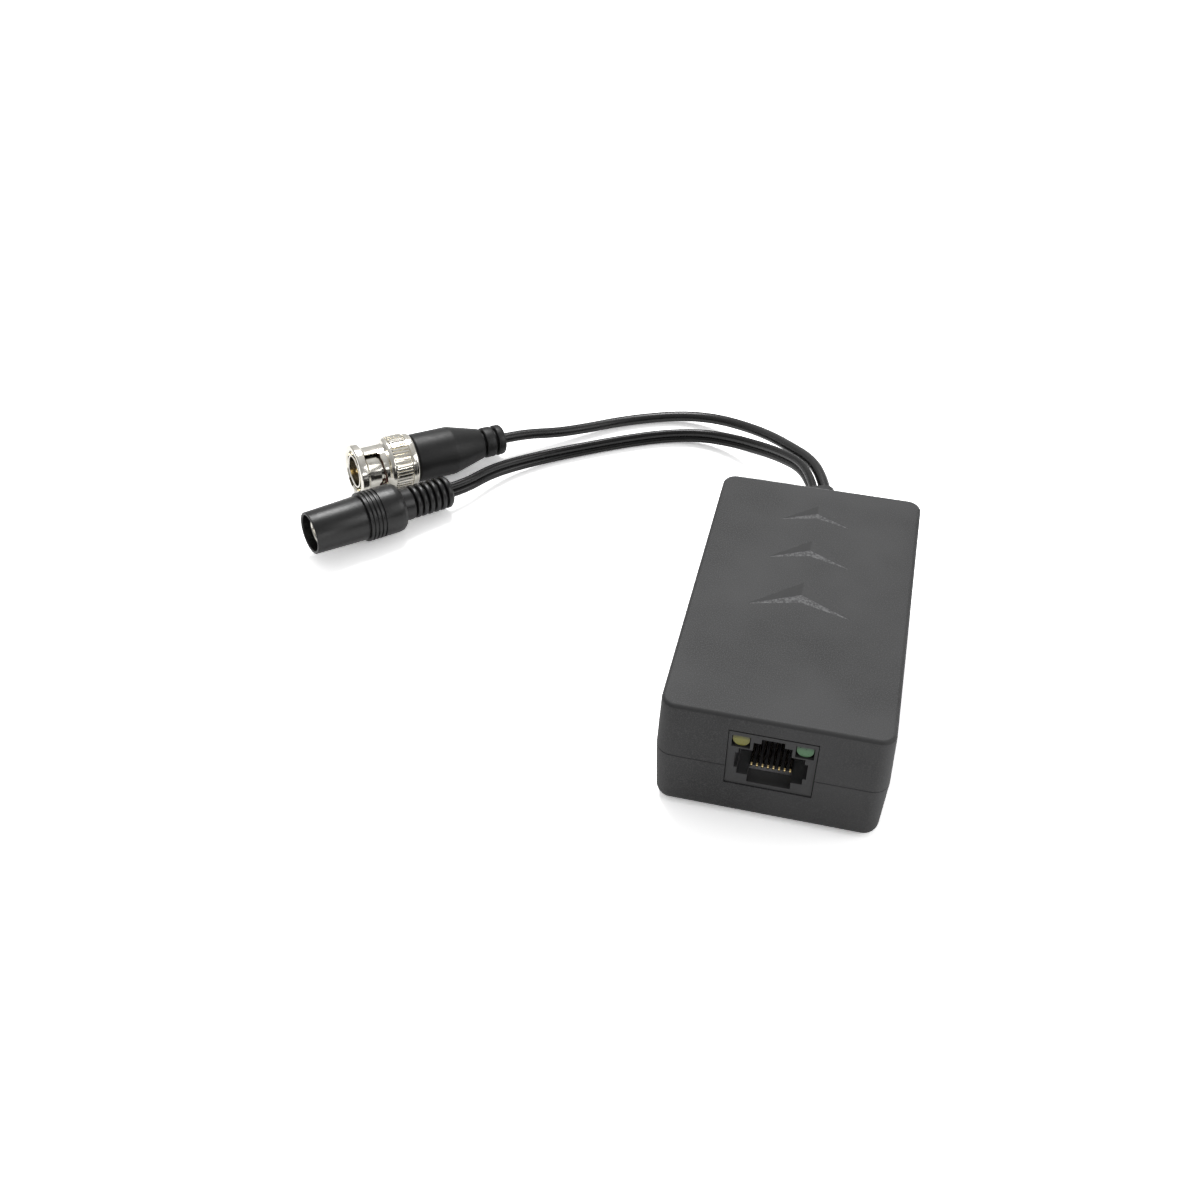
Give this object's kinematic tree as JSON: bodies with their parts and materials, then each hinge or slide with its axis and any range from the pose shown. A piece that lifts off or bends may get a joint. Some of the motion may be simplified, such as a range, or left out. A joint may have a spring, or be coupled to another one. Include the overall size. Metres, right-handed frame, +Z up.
{
  "type": "cctv video balun",
  "caption": "Charcoal box with an RJ45 jack at one end and, on short leads from the other, a video plug with a turning bayonet sleeve and a barrel power socket.",
  "frame": {"origin": "middle of the housing's underside", "axes": "+Z up through the chevrons' face, -Y out of the RJ45 jack, +Y where the leads leave, +X right"},
  "size_m": [0.1363, 0.1274, 0.0262],
  "materials": {
    "housing_plastic": "fine textured charcoal, matt",
    "jack_plastic": "dark grey, satin",
    "carrier_plastic": "black, satin",
    "lens_yellow": "tinted lens, gloss",
    "lens_green": "tinted lens, gloss",
    "gold_plate": "gold plated, bright",
    "board_laminate": "green solder mask, gloss",
    "component_black": "moulded, satin",
    "component_grey": "boxed film capacitor, satin",
    "component_amber": "dipped coating, gloss",
    "choke_winding": "enamelled copper on a ferrite ring",
    "screw_steel": "zinc plated",
    "cord_jacket": "black flexible jacket, semi gloss",
    "tail_black": "wire sleeve, satin",
    "tail_red": "wire sleeve, satin",
    "nickel_plate": "bright nickel plate",
    "spring_steel": "spring temper",
    "insulator_plastic": "dark translucent plastic",
    "gasket_rubber": "reddish brown silicone"
  },
  "bodies": {
    "balun": {"lower_housing": "housing_plastic", "upper_housing": "housing_plastic", "housing_screws": "screw_steel", "circuit_board": "board_laminate", "board_screws": "screw_steel", "jack_housing": "jack_plastic", "jack_contact_carrier": "carrier_plastic", "status_lamp_left": "lens_yellow", "status_lamp_right": "lens_green", "balun_transformer": "component_black", "power_choke": "choke_winding", "resettable_fuse": "component_amber", "film_capacitor": "component_grey", "surge_diode": "component_black", "cord_gland": "cord_jacket", "video_cord": "cord_jacket", "power_cord": "cord_jacket", "video_tail": "tail_black", "power_tail_positive": "tail_red", "power_tail_negative": "tail_black", "bnc_wave_washer": "spring_steel", "bnc_body": "nickel_plate", "bnc_outer_contact": "nickel_plate", "bnc_insulator": "insulator_plastic", "bnc_centre_pin": "gold_plate", "bnc_gasket": "gasket_rubber", "bnc_boot": "cord_jacket", "dc_overmould": "cord_jacket", "dc_insert": "jack_plastic", "dc_outer_contact": "nickel_plate", "dc_centre_pin": "nickel_plate", "jack_contact_1": "gold_plate", "jack_contact_2": "gold_plate", "jack_contact_3": "gold_plate", "jack_contact_4": "gold_plate", "jack_contact_5": "gold_plate", "jack_contact_6": "gold_plate", "jack_contact_7": "gold_plate", "jack_contact_8": "gold_plate"},
    "sleeve_washer": {"bnc_thrust_washer": "spring_steel"},
    "sleeve": {"bnc_coupling_sleeve": "nickel_plate"}
  },
  "joints": [
    {"name": "bnc_coupling_float", "type": "slide", "parent": "balun", "child": "sleeve_washer", "axis": [-0.7451, -0.6625, 0.0771], "range_m": [0, 0.0006], "stiffness_N_per_m": 500, "deforming": ["bnc_wave_washer"]},
    {"name": "bnc_coupling_turn", "type": "hinge", "parent": "sleeve_washer", "child": "sleeve", "pos_m": [-0.10462, 0.04397, 0.00726], "axis": [-0.7451, -0.6625, 0.0771], "continuous": true}
  ]
}
